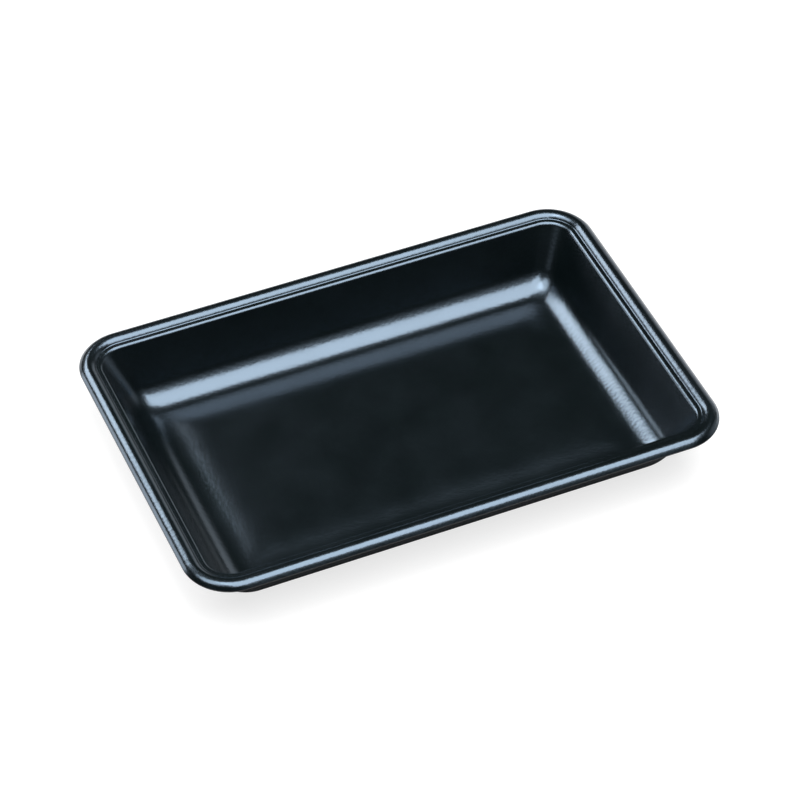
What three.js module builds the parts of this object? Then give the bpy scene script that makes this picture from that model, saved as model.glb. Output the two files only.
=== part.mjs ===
// Food tray: one black foam sheet, hot-formed into a shallow rectangular dish.
// The rim is a raised bead with a lid ledge inside it, the walls lean out, and the floor has a
// wide round where the walls meet it. Millimetres, +Z up, origin under the middle of the foot.
import * as THREE from 'three';

// Overall sizes
const length = 200; // outside of the rim along X
const width = 134.6; // outside of the rim along Y
const height = 26; // table to the top of the bead
const sheet = 3.5; // thickness of the foam sheet

// Corners, seen from above
const rimCornerRadius = 17.4; // outside of the rim
const floorCornerRadius = 4; // where the floor's round ends
const footCornerRadius = 10; // the same place underneath

// Rim, from the outside edge inwards
const edgeHeight = 2.5; // from the underside of the trimmed edge to the top of the bead
const edgeRadius = 0.35; // rounds above and below the trimmed edge
const beadInset = 3.25; // from the outside to the middle of the bead
const beadRadius = 3.4; // round top of the bead
const beadFlank = 50; // steepest part of the bead's sides, in degrees
const beadRise = 1.5; // top of the bead above the lid ledge
const ledgeRootRadius = 0.6;
const ledgeWidth = 1.9;
const ledgeEdgeRadius = 1.5; // where the ledge turns down into the wall
const neckRadius = 1.5; // hollow under the rim, where it meets the outside of the wall

// Wall and floor
const wallDraft = 27; // lean of the wall from upright, in degrees
const floorRound = 12; // inside round between wall and floor
const footRound = 12.5; // the same round underneath
const footRingWidth = 0.6; // level ring of the floor, inside the round
const crownRun = 15; // width of the slope from that ring up to the flat floor panel
const crownRise = 0.7; // floor panel above the ring

// Fineness of the facets
const degreesPerFacet = 9; // rounds in the section
const facetsPerCorner = 12; // corners seen from above
const crownSteps = 8;

const degrees = Math.PI / 180;
const wallLean = Math.tan(wallDraft * degrees);
const ledgeHeight = height - beadRise;
const edgeUnderside = height - edgeHeight;
const flankSlope = Math.tan(beadFlank * degrees);
const flanksMeet = height + beadRadius * (1 / Math.cos(beadFlank * degrees) - 1);
const edgeTop = flanksMeet - beadInset * flankSlope;
const beadRootInset = beadInset + (flanksMeet - ledgeHeight) / flankSlope;
const ledgeInset = beadRootInset + ledgeWidth;
const wallStep = sheet / Math.cos(wallDraft * degrees); // wall thickness measured level
const quarterTurn = 90;

// How far in from the rim's outside the inner face of the wall lies at a height.
function innerWallInset(z) {
  return ledgeInset + (ledgeHeight - z) * wallLean;
}

const filletReach = Math.tan(((quarterTurn - wallDraft) / 2) * degrees);
const floorEdgeInset = innerWallInset(sheet) + floorRound * filletReach;
const crownInset = floorEdgeInset + footRingWidth;

// A corner of the section: how far in from the rim's outside, how high, and its round's radius.
function corner(inset, z, radius = 0) {
  return { at: new THREE.Vector2(inset, z), radius };
}

// Half of the angle between the two sides that meet at a corner of an outline.
function halfOpening(corners, i) {
  const toBefore = corners[i - 1].at.clone().sub(corners[i].at).normalize();
  const toAfter = corners[i + 1].at.clone().sub(corners[i].at).normalize();
  return Math.acos(THREE.MathUtils.clamp(toBefore.dot(toAfter), -1, 1)) / 2;
}

// How far along its two sides a corner's round reaches if nothing is in its way.
function wantedReach(corners, i) {
  if (corners[i].radius === 0) return 0;
  return corners[i].radius / Math.tan(halfOpening(corners, i));
}

// The same, cut back in step with its neighbour's where the side between them is too short.
function allowedReach(corners, i) {
  const wanted = wantedReach(corners, i);
  const shares = [i - 1, i + 1].map((neighbour) => {
    const side = corners[i].at.distanceTo(corners[neighbour].at);
    return (0.98 * side) / (wanted + wantedReach(corners, neighbour));
  });
  return wanted * Math.min(1, ...shares);
}

// Replaces each rounded corner of an open outline by an arc that touches both of its sides.
function roundedOutline(corners) {
  const points = [];
  corners.forEach(({ at, radius }, i) => {
    if (radius === 0) {
      points.push(at);
      return;
    }
    const toBefore = corners[i - 1].at.clone().sub(at).normalize();
    const toAfter = corners[i + 1].at.clone().sub(at).normalize();
    const half = halfOpening(corners, i);
    const reach = allowedReach(corners, i);
    const centre = toBefore.clone().add(toAfter).normalize();
    centre.multiplyScalar(reach / Math.cos(half)).add(at);
    const start = toBefore.multiplyScalar(reach).add(at).sub(centre);
    const end = toAfter.multiplyScalar(reach).add(at).sub(centre);
    let sweep = end.angle() - start.angle();
    if (sweep > Math.PI) sweep -= 2 * Math.PI;
    if (sweep < -Math.PI) sweep += 2 * Math.PI;
    const facets = Math.max(2, Math.ceil(Math.abs(sweep) / (degreesPerFacet * degrees)));
    for (let step = 0; step <= facets; step += 1) {
      const turned = start.clone().rotateAround(new THREE.Vector2(), (sweep * step) / facets);
      points.push(turned.add(centre));
    }
  });
  return points;
}

// Floor panel, slope and level ring, from the middle outwards, on a face that lies at z.
// The slope is steepest near the ring and eases out into the panel.
function crownOutline(z) {
  const points = [];
  for (let step = crownSteps; step > 0; step -= 1) {
    const share = step / crownSteps;
    const rise = crownRise * (1 - (1 - share) ** 4 * (1 + 4 * share));
    points.push(new THREE.Vector2(crownInset + crownRun * share, z + rise));
  }
  points.push(new THREE.Vector2(crownInset, z));
  return points;
}

// Upper face, from the floor panel up the wall and over the bead to the trimmed edge.
function upperOutline() {
  const wallAndRim = roundedOutline([
    corner(crownInset, sheet),
    corner(innerWallInset(sheet), sheet, floorRound),
    corner(ledgeInset, ledgeHeight, ledgeEdgeRadius),
    corner(beadRootInset, ledgeHeight, ledgeRootRadius),
    corner(beadInset, flanksMeet, beadRadius),
    corner(0, edgeTop, edgeRadius),
    corner(0, edgeUnderside),
  ]);
  return [...crownOutline(sheet), ...wallAndRim.slice(1, -1)];
}

// Under face, from the trimmed edge below the rim and down the wall to the foot ring and panel.
function underOutline() {
  const outerWallInset = (z) => innerWallInset(z) - wallStep;
  const rimAndWall = roundedOutline([
    corner(0, edgeTop),
    corner(0, edgeUnderside, edgeRadius),
    corner(outerWallInset(edgeUnderside), edgeUnderside, neckRadius),
    corner(outerWallInset(0), 0, footRound),
    corner(crownInset, 0),
  ]);
  return [...rimAndWall.slice(1, -1), ...crownOutline(0).reverse()];
}

// Corner radius seen from above, for the upper face: concentric round the rim, then tighter
// towards the floor.
function upperCornerRadius(inset) {
  const atLedge = rimCornerRadius - ledgeInset;
  if (inset <= ledgeInset) return rimCornerRadius - inset;
  const share = Math.min(1, (inset - ledgeInset) / (floorEdgeInset - ledgeInset));
  return THREE.MathUtils.lerp(atLedge, floorCornerRadius, share);
}

// The same for the under face.
function underCornerRadius(inset) {
  const neckInset = ledgeInset - wallStep;
  if (inset <= neckInset) return rimCornerRadius - inset;
  const share = Math.min(1, (inset - neckInset) / (floorEdgeInset - neckInset));
  return THREE.MathUtils.lerp(rimCornerRadius - neckInset, footCornerRadius, share);
}

// One level ring of the tray: a rectangle with round corners, as points going counter-clockwise.
function ringPoints({ x: inset, y: z }, cornerRadius) {
  const points = [];
  const farX = length / 2 - inset - cornerRadius;
  const farY = width / 2 - inset - cornerRadius;
  [[1, 1], [-1, 1], [-1, -1], [1, -1]].forEach(([sideX, sideY], quarter) => {
    for (let step = 0; step <= facetsPerCorner; step += 1) {
      const turn = (quarter + step / facetsPerCorner) * quarterTurn * degrees;
      points.push(
        sideX * farX + cornerRadius * Math.cos(turn),
        sideY * farY + cornerRadius * Math.sin(turn),
        z,
      );
    }
  });
  return points;
}

// Joins the rings into one closed skin, with a fan over the middle of each face.
function trayGeometry() {
  const upper = upperOutline().map((point) => ringPoints(point, upperCornerRadius(point.x)));
  const under = underOutline().map((point) => ringPoints(point, underCornerRadius(point.x)));
  const rings = [...upper, ...under];
  const ringSize = 4 * (facetsPerCorner + 1);
  const positions = rings.flat();
  const floorMiddle = rings.length * ringSize;
  const footMiddle = floorMiddle + 1;
  positions.push(0, 0, sheet + crownRise, 0, 0, crownRise);

  const faces = [];
  const lastRing = (rings.length - 1) * ringSize;
  for (let here = 0; here < ringSize; here += 1) {
    const next = (here + 1) % ringSize;
    faces.push(floorMiddle, here, next);
    for (let ring = 0; ring < lastRing; ring += ringSize) {
      const outer = ring + ringSize;
      faces.push(ring + here, outer + here, outer + next);
      faces.push(ring + here, outer + next, ring + next);
    }
    faces.push(footMiddle, lastRing + next, lastRing + here);
  }

  const geometry = new THREE.BufferGeometry();
  geometry.setAttribute('position', new THREE.Float32BufferAttribute(positions, 3));
  geometry.setIndex(faces);
  geometry.computeVertexNormals();
  return geometry;
}

const glossyBlackFilm = new THREE.MeshStandardMaterial({
  color: 0x0d0f12,
  roughness: 0.16,
  metalness: 0,
});

const tray = new THREE.Mesh(trayGeometry(), glossyBlackFilm);
tray.name = 'tray';

const foodTray = new THREE.Group();
foodTray.add(tray);

export default foodTray;
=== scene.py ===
import bpy
from math import acos, atan2, ceil, cos, pi, radians, sin, tan
from mathutils import Matrix, Vector


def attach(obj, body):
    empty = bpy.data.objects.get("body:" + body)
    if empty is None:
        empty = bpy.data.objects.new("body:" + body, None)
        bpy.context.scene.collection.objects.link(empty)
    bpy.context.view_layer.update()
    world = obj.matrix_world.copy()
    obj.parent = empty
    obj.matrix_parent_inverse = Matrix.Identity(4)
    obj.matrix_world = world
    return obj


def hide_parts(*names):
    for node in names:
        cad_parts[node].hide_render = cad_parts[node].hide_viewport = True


# A shallow black foam food tray, seen from above on a pale table.
# The tray is one piece, so it comes first, and then the table, the studio, its lamps and the camera.

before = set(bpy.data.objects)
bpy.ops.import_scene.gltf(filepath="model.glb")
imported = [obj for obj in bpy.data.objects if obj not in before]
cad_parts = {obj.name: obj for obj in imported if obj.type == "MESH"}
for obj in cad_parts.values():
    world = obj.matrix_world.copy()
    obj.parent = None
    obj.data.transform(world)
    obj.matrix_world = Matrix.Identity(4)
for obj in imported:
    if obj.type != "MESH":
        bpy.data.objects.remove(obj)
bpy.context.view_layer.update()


# The tray: one expanded polystyrene sheet with a thin glossy black film on both faces, softened
# by heat, pressed between two moulds and trimmed round the rim. Its sizes are in millimetres, and
# those of its section count inwards from the outside of the rim and upwards from the table.
LENGTH, WIDTH, HEIGHT = 200.0, 134.6, 26.0
SHEET = 3.5
RIM_CORNER_RADIUS = 17.4
FLOOR_CORNER_RADIUS = 4.0
FOOT_CORNER_RADIUS = 10.0

EDGE_HEIGHT = 2.5
EDGE_RADIUS = 0.35
BEAD_INSET = 3.25
BEAD_RADIUS = 3.4
BEAD_FLANK = radians(50.0)
BEAD_RISE = 1.5
LEDGE_ROOT_RADIUS = 0.6
LEDGE_WIDTH = 1.9
LEDGE_EDGE_RADIUS = 1.5
NECK_RADIUS = 1.5

WALL_DRAFT = radians(27.0)
FLOOR_ROUND = 12.0
FOOT_ROUND = 12.5
LEVEL_RING_WIDTH = 0.6
CROWN_RUN = 15.0
CROWN_RISE = 0.7

LEDGE_HEIGHT = HEIGHT - BEAD_RISE
EDGE_UNDERSIDE = HEIGHT - EDGE_HEIGHT
FLANKS_MEET = HEIGHT + BEAD_RADIUS * (1 / cos(BEAD_FLANK) - 1)
EDGE_TOP = FLANKS_MEET - BEAD_INSET * tan(BEAD_FLANK)
BEAD_ROOT_INSET = BEAD_INSET + (FLANKS_MEET - LEDGE_HEIGHT) / tan(BEAD_FLANK)
LEDGE_INSET = BEAD_ROOT_INSET + LEDGE_WIDTH
WALL_STEP = SHEET / cos(WALL_DRAFT)


def inner_wall_inset(z):
    return LEDGE_INSET + (LEDGE_HEIGHT - z) * tan(WALL_DRAFT)


def outer_wall_inset(z):
    return inner_wall_inset(z) - WALL_STEP


FLOOR_EDGE_INSET = inner_wall_inset(SHEET) + FLOOR_ROUND * tan((pi / 2 - WALL_DRAFT) / 2)
CROWN_INSET = FLOOR_EDGE_INSET + LEVEL_RING_WIDTH


def rounded_outline(corners, arc_step=radians(3.0)):
    """Points (inset, z) of an open outline whose corners (inset, z, radius) are rounded."""
    points = []
    for i, (inset, z, radius) in enumerate(corners):
        here = Vector((inset, z))
        if radius == 0:
            points.append(here)
            continue
        to_before = (Vector(corners[i - 1][:2]) - here).normalized()
        to_after = (Vector(corners[i + 1][:2]) - here).normalized()
        half_opening = acos(max(-1.0, min(1.0, to_before.dot(to_after)))) / 2
        reach = radius / tan(half_opening)
        to_centre = (to_before + to_after).normalized() * reach / cos(half_opening)
        start = to_before * reach - to_centre
        end = to_after * reach - to_centre
        sweep = atan2(start.x * end.y - start.y * end.x, start.dot(end))
        steps = max(2, ceil(abs(sweep) / arc_step))
        for step in range(steps + 1):
            turned = Matrix.Rotation(sweep * step / steps, 2) @ start
            points.append(here + to_centre + turned)
    return points


def crown_outline(z, steps=20):
    """The floor from its flat panel down to the level ring, from the middle outwards."""
    points = []
    for step in range(steps, 0, -1):
        share = step / steps
        rise = CROWN_RISE * (1 - (1 - share) ** 4 * (1 + 4 * share))
        points.append(Vector((CROWN_INSET + CROWN_RUN * share, z + rise)))
    points.append(Vector((CROWN_INSET, z)))
    return points


upper_outline = crown_outline(SHEET) + rounded_outline([
    (CROWN_INSET, SHEET, 0),
    (inner_wall_inset(SHEET), SHEET, FLOOR_ROUND),
    (LEDGE_INSET, LEDGE_HEIGHT, LEDGE_EDGE_RADIUS),
    (BEAD_ROOT_INSET, LEDGE_HEIGHT, LEDGE_ROOT_RADIUS),
    (BEAD_INSET, FLANKS_MEET, BEAD_RADIUS),
    (0, EDGE_TOP, EDGE_RADIUS),
    (0, EDGE_UNDERSIDE, 0),
])[1:-1]
under_outline = rounded_outline([
    (0, EDGE_TOP, 0),
    (0, EDGE_UNDERSIDE, EDGE_RADIUS),
    (outer_wall_inset(EDGE_UNDERSIDE), EDGE_UNDERSIDE, NECK_RADIUS),
    (outer_wall_inset(0), 0, FOOT_ROUND),
    (CROWN_INSET, 0, 0),
])[1:-1] + crown_outline(0)[::-1]


def corner_radius(inset, narrow_from, narrow_to_radius):
    """Concentric round the rim, then tighter towards the floor."""
    if inset <= narrow_from:
        return RIM_CORNER_RADIUS - inset
    share = min(1.0, (inset - narrow_from) / (FLOOR_EDGE_INSET - narrow_from))
    at_rim = RIM_CORNER_RADIUS - narrow_from
    return at_rim + (narrow_to_radius - at_rim) * share


def ring(inset, z, radius, side_steps=24, corner_steps=20):
    """One level ring of the sheet, counter-clockwise, in metres."""
    far_x = LENGTH / 2 - inset - radius
    far_y = WIDTH / 2 - inset - radius
    corners = []
    for quarter, (side_x, side_y) in enumerate([(1, 1), (-1, 1), (-1, -1), (1, -1)]):
        turns = [(quarter + step / corner_steps) * pi / 2 for step in range(corner_steps + 1)]
        corners.append([Vector((side_x * far_x + radius * cos(turn),
                                side_y * far_y + radius * sin(turn), z)) for turn in turns])
    points = []
    for corner, next_corner in zip(corners, corners[1:] + corners[:1]):
        points += corner
        for step in range(1, side_steps):
            points.append(corner[-1].lerp(next_corner[0], step / side_steps))
    return [point / 1000 for point in points]


rings = [ring(p.x, p.y, corner_radius(p.x, LEDGE_INSET, FLOOR_CORNER_RADIUS))
         for p in upper_outline]
rings += [ring(p.x, p.y, corner_radius(p.x, LEDGE_INSET - WALL_STEP, FOOT_CORNER_RADIUS))
          for p in under_outline]
ring_size = len(rings[0])
vertices = [point for one_ring in rings for point in one_ring]
faces = []
for level in range(len(rings) - 1):
    inner, outer = level * ring_size, (level + 1) * ring_size
    for here in range(ring_size):
        after = (here + 1) % ring_size
        faces.append((inner + here, outer + here, outer + after, inner + after))
floor_middle = len(vertices)
foot_middle = floor_middle + 1
vertices += [Vector((0, 0, (SHEET + CROWN_RISE) / 1000)), Vector((0, 0, CROWN_RISE / 1000))]
last = (len(rings) - 1) * ring_size
for here in range(ring_size):
    after = (here + 1) % ring_size
    faces.append((floor_middle, here, after))
    faces.append((foot_middle, last + after, last + here))

sheet_mesh = bpy.data.meshes.new("formed_sheet")
sheet_mesh.from_pydata(vertices, [], faces)
sheet_mesh.shade_smooth()


def new_material(name):
    """A material, its node tree and its shader."""
    material = bpy.data.materials.new(name)
    material.use_nodes = True
    return material, material.node_tree, material.node_tree.nodes["Principled BSDF"]


def noise(tree, per_metre, detail):
    """A noise over the piece, with so many patches to the metre."""
    place = tree.nodes.new("ShaderNodeTexCoord")
    texture = tree.nodes.new("ShaderNodeTexNoise")
    texture.inputs["Scale"].default_value = per_metre
    texture.inputs["Detail"].default_value = detail
    tree.links.new(place.outputs["Object"], texture.inputs["Vector"])
    return texture.outputs["Fac"]


def cells(tree, per_metre):
    """Foam cells over the piece, as the distance from the middle of the nearest one."""
    place = tree.nodes.new("ShaderNodeTexCoord")
    texture = tree.nodes.new("ShaderNodeTexVoronoi")
    texture.inputs["Scale"].default_value = per_metre
    tree.links.new(place.outputs["Object"], texture.inputs["Vector"])
    return texture.outputs["Distance"]


def mottled(tree, pattern, dark, pale):
    """A colour that goes from dark to pale as the pattern goes from 0 to 1."""
    colour = tree.nodes.new("ShaderNodeMix")
    colour.data_type = "RGBA"
    colour.inputs["A"].default_value = (*dark, 1)
    colour.inputs["B"].default_value = (*pale, 1)
    tree.links.new(pattern, colour.inputs["Factor"])
    return colour.outputs["Result"]


def spread(tree, pattern, low, high):
    """Values from low to high as the pattern goes through its middle range, 0.3 to 0.7."""
    span = tree.nodes.new("ShaderNodeMapRange")
    span.inputs["From Min"].default_value = 0.3
    span.inputs["From Max"].default_value = 0.7
    span.inputs["To Min"].default_value = low
    span.inputs["To Max"].default_value = high
    tree.links.new(pattern, span.inputs["Value"])
    return span.outputs["Result"]


def bump(tree, pattern, depth, strength, under=None):
    """The pattern as a relief, depth metres deep at full strength, over another relief."""
    relief = tree.nodes.new("ShaderNodeBump")
    relief.inputs["Distance"].default_value = depth
    relief.inputs["Strength"].default_value = strength
    tree.links.new(pattern, relief.inputs["Height"])
    if under is not None:
        tree.links.new(under, relief.inputs["Normal"])
    return relief.outputs["Normal"]


# The film on both faces. The cells of the foam show through it as a faint pebbling, and
# hot-forming leaves the sheet gently uneven and a little duller in places.
film, tree, shader = new_material("glossy_black_film")
shader.inputs["IOR"].default_value = 1.9
shader.inputs["Specular Tint"].default_value = (0.60, 0.79, 1.0, 1)
film_colour = mottled(tree, noise(tree, per_metre=160, detail=4.0),
                      dark=(0.0005, 0.0012, 0.0012), pale=(0.0012, 0.0028, 0.0026))
film_dullness = spread(tree, noise(tree, per_metre=60, detail=3.0), low=0.21, high=0.25)
unevenness = bump(tree, noise(tree, per_metre=40, detail=1.0), depth=0.0004, strength=0.2)
pebbling = bump(tree, cells(tree, per_metre=750), depth=0.00003, strength=0.8, under=unevenness)
tree.links.new(film_colour, shader.inputs["Base Color"])
tree.links.new(film_dullness, shader.inputs["Roughness"])
tree.links.new(pebbling, shader.inputs["Normal"])
sheet_mesh.materials.append(film)

# The trimmed edge: the blade leaves a narrow matte band of bare foam, with its small cells open. The
# colour is painted darker in each cell's hollow, as painted shade.
cut_foam, tree, shader = new_material("cut_foam")
shader.inputs["Roughness"].default_value = 0.75
open_cells = cells(tree, per_metre=3500)
# Painted shade: the colour darkens towards the middle of each cell, where the relief below sinks.
foam_colour_with_painted_pit_shade = mottled(tree, open_cells, dark=(0.006, 0.007, 0.008), pale=(0.022, 0.024, 0.026))
foam_grain = bump(tree, open_cells, depth=0.0001, strength=0.6)
tree.links.new(foam_colour_with_painted_pit_shade, shader.inputs["Base Color"])
tree.links.new(foam_grain, shader.inputs["Normal"])
sheet_mesh.materials.append(cut_foam)

CUT_DEPTH = 0.2
outline = upper_outline + under_outline
for level, (start, end) in enumerate(zip(outline, outline[1:])):
    if max(start.x, end.x) < CUT_DEPTH:
        for here in range(ring_size):
            sheet_mesh.polygons[level * ring_size + here].material_index = 1

formed_sheet = bpy.data.objects.new("formed_sheet", sheet_mesh)
bpy.context.scene.collection.objects.link(formed_sheet)
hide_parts("tray")
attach(formed_sheet, "root")


# The table: a plain pale surface that carries the tray and keeps its soft shadow. Its own glow
# lifts it to the white of the background; in gloss that glow fades out under the tray, as a painted
# shadow.
TABLE_SIZE = 6
TABLE_GLOW = 0.76
PAINTED_SHADOW_FADES_FROM, PAINTED_SHADOW_GONE_AT = -0.01, 0.05  # in gloss, metres out from the tray's rim
bpy.ops.mesh.primitive_plane_add(size=TABLE_SIZE)
table = bpy.context.object
table.name = "table"


def calculate(tree, operation, first, second):
    """One step of arithmetic on two inputs, each a socket or a number."""
    step = tree.nodes.new("ShaderNodeMath")
    step.operation = operation
    for given, socket in zip((first, second), step.inputs):
        if isinstance(given, (int, float)):
            socket.default_value = given
        else:
            tree.links.new(given, socket)
    return step.outputs[0]


pale_table, tree, shader = new_material("pale_table")
shader.inputs["Base Color"].default_value = (0.3, 0.3, 0.3, 1)
shader.inputs["Roughness"].default_value = 1.0
shader.inputs["Specular IOR Level"].default_value = 0.0
place = tree.nodes.new("ShaderNodeTexCoord")
axes = tree.nodes.new("ShaderNodeSeparateXYZ")
tree.links.new(place.outputs["Object"], axes.inputs[0])
from_middle_x = calculate(tree, "ABSOLUTE", axes.outputs["X"], 0)
from_middle_y = calculate(tree, "ABSOLUTE", axes.outputs["Y"], 0)
beyond_ends = calculate(tree, "SUBTRACT", from_middle_x, LENGTH / 2000)
beyond_sides = calculate(tree, "SUBTRACT", from_middle_y, WIDTH / 2000)
# Painted shadow: in gloss the table's glow is cut under the tray and fades back in just outside its
# rim.
out_of_painted_shadow = tree.nodes.new("ShaderNodeMapRange")
out_of_painted_shadow.interpolation_type = "SMOOTHSTEP"
out_of_painted_shadow.inputs["From Min"].default_value = PAINTED_SHADOW_FADES_FROM
out_of_painted_shadow.inputs["From Max"].default_value = PAINTED_SHADOW_GONE_AT
tree.links.new(calculate(tree, "MAXIMUM", beyond_ends, beyond_sides), out_of_painted_shadow.inputs["Value"])
rays = tree.nodes.new("ShaderNodeLightPath")
in_gloss = calculate(tree, "MAXIMUM",
                     rays.outputs["Is Glossy Ray"], rays.outputs["Is Transmission Ray"])
gloss_glow_with_painted_shadow = calculate(tree, "MULTIPLY", in_gloss, out_of_painted_shadow.outputs["Result"])
glow = calculate(tree, "ADD", rays.outputs["Is Camera Ray"], gloss_glow_with_painted_shadow)
shader.inputs["Emission Color"].default_value = (1, 1, 1, 1)
tree.links.new(calculate(tree, "MULTIPLY", glow, TABLE_GLOW), shader.inputs["Emission Strength"])
table.data.materials.append(pale_table)


# The studio: white to the camera. In gloss its walls are dim, apart from a pale screen that
# stands low behind and to the left, pale ceiling over the left and the front, and some pale
# wall low down on both sides and behind.
CAMERA_SEES, DIFFUSE_LIGHT, DIM_WALLS = 1.0, 0.15, 0.02
studio = bpy.data.worlds.new("studio")
bpy.context.scene.world = studio
studio.use_nodes = True
tree = studio.node_tree
background = tree.nodes["Background"]
background.inputs["Color"].default_value = (1, 1, 1, 1)


def pale_patch(tree, towards, inner_angle, outer_angle, radiance):
    """Radiance of a round pale patch of the studio, soft between the two angles."""
    direction = tree.nodes.new("ShaderNodeTexCoord")
    facing_patch = tree.nodes.new("ShaderNodeVectorMath")
    facing_patch.operation = "DOT_PRODUCT"
    facing_patch.inputs[1].default_value = Vector(towards).normalized()
    tree.links.new(direction.outputs["Generated"], facing_patch.inputs[0])
    patch = tree.nodes.new("ShaderNodeMapRange")
    patch.interpolation_type = "SMOOTHSTEP"
    patch.inputs["From Min"].default_value = cos(radians(outer_angle))
    patch.inputs["From Max"].default_value = cos(radians(inner_angle))
    patch.inputs["To Max"].default_value = radiance
    tree.links.new(facing_patch.outputs["Value"], patch.inputs["Value"])
    return patch.outputs["Result"]


def apart_from(tree, lighting, ray_kind, brightness):
    """The lighting as it was, but one plain brightness for one kind of ray."""
    choice = tree.nodes.new("ShaderNodeMix")
    tree.links.new(ray_kind, choice.inputs["Factor"])
    tree.links.new(lighting, choice.inputs["A"])
    choice.inputs["B"].default_value = brightness
    return choice.outputs["Result"]


screen = pale_patch(tree, (-0.75, 0.65, 0.09), inner_angle=5, outer_angle=12, radiance=3.6)
over_left = pale_patch(tree, (-0.38, 0.05, 0.92), inner_angle=12, outer_angle=22, radiance=5.5)
over_front = pale_patch(tree, (0.28, -0.70, 0.66), inner_angle=4, outer_angle=14, radiance=0.7)
low_left = pale_patch(tree, (-0.86, -0.49, 0.12), inner_angle=6, outer_angle=20, radiance=0.8)
low_right = pale_patch(tree, (0.97, -0.05, 0.20), inner_angle=8, outer_angle=26, radiance=0.5)
low_behind = pale_patch(tree, (0.72, 0.66, 0.18), inner_angle=6, outer_angle=22, radiance=0.9)
lighting = calculate(tree, "ADD", screen, over_left)
for patch in (over_front, low_left, low_right, low_behind):
    lighting = calculate(tree, "ADD", lighting, patch)
lighting = calculate(tree, "ADD", lighting, DIM_WALLS)
rays = tree.nodes.new("ShaderNodeLightPath")
lighting = apart_from(tree, lighting, rays.outputs["Is Diffuse Ray"], DIFFUSE_LIGHT)
lighting = apart_from(tree, lighting, rays.outputs["Is Camera Ray"], CAMERA_SEES)
tree.links.new(lighting, background.inputs["Strength"])


# The two soft boxes: a large one over the front of the tray, and one behind on the left, tipped
# back a little. Each is a rectangular lamp, in metres.
def soft_box(name, centre, across, up, width, height, radiance):
    """A soft box whose back looks along across x up, and its lit face the other way."""
    lamp = bpy.data.lights.new(name, "AREA")
    lamp.shape = "RECTANGLE"
    lamp.size = width
    lamp.size_y = height
    lamp.energy = radiance * pi * width * height
    box = bpy.data.objects.new(name, lamp)
    bpy.context.scene.collection.objects.link(box)
    across = Vector(across).normalized()
    back = across.cross(Vector(up)).normalized()
    up = back.cross(across)
    turned = Matrix([across, up, back]).transposed().to_4x4()
    box.matrix_world = Matrix.Translation(centre) @ turned
    box.visible_camera = False


soft_box("soft_box_over", centre=(0.22, -0.32, 1.2), across=(1, 0, 0), up=(0, 1, 0),
         width=1.04, height=1.19, radiance=7.2)
soft_box("soft_box_behind", centre=(-0.385, 0.80, 0.78), across=(-1, 0, 0), up=(0, 0.35, 1),
         width=0.65, height=0.68, radiance=8.6)


# The camera: a long lens from the tray's front left, as in a product photograph. Its focal length
# is given in pixels of a square picture.
PICTURE_PIXELS, FOCAL_PIXELS = 800, 3452.4
SENSOR_WIDTH = 36
CAMERA_TURN, CAMERA_HEIGHT_ANGLE, CAMERA_ROLL = radians(-23.37), radians(44.63), radians(0.10)
CAMERA_DISTANCE = 1.2126
LOOK_AT = Vector((-0.00181, -0.00697, HEIGHT / 1000))
camera_data = bpy.data.cameras.new("camera")
camera_data.sensor_width = SENSOR_WIDTH
camera_data.lens = FOCAL_PIXELS / PICTURE_PIXELS * SENSOR_WIDTH
camera_data.clip_start = 0.05
camera_back = Vector((sin(CAMERA_TURN) * cos(CAMERA_HEIGHT_ANGLE),
                      -cos(CAMERA_TURN) * cos(CAMERA_HEIGHT_ANGLE),
                      sin(CAMERA_HEIGHT_ANGLE)))
camera_right = Vector((cos(CAMERA_TURN), sin(CAMERA_TURN), 0))
camera_up = camera_back.cross(camera_right)
facing = Matrix([camera_right, camera_up, camera_back]).transposed().to_4x4()
camera = bpy.data.objects.new("camera", camera_data)
camera.matrix_world = (Matrix.Translation(LOOK_AT + camera_back * CAMERA_DISTANCE)
                       @ facing @ Matrix.Rotation(-CAMERA_ROLL, 4, "Z"))
bpy.context.scene.collection.objects.link(camera)
bpy.context.scene.camera = camera
bpy.context.scene.view_settings.view_transform = "Standard"
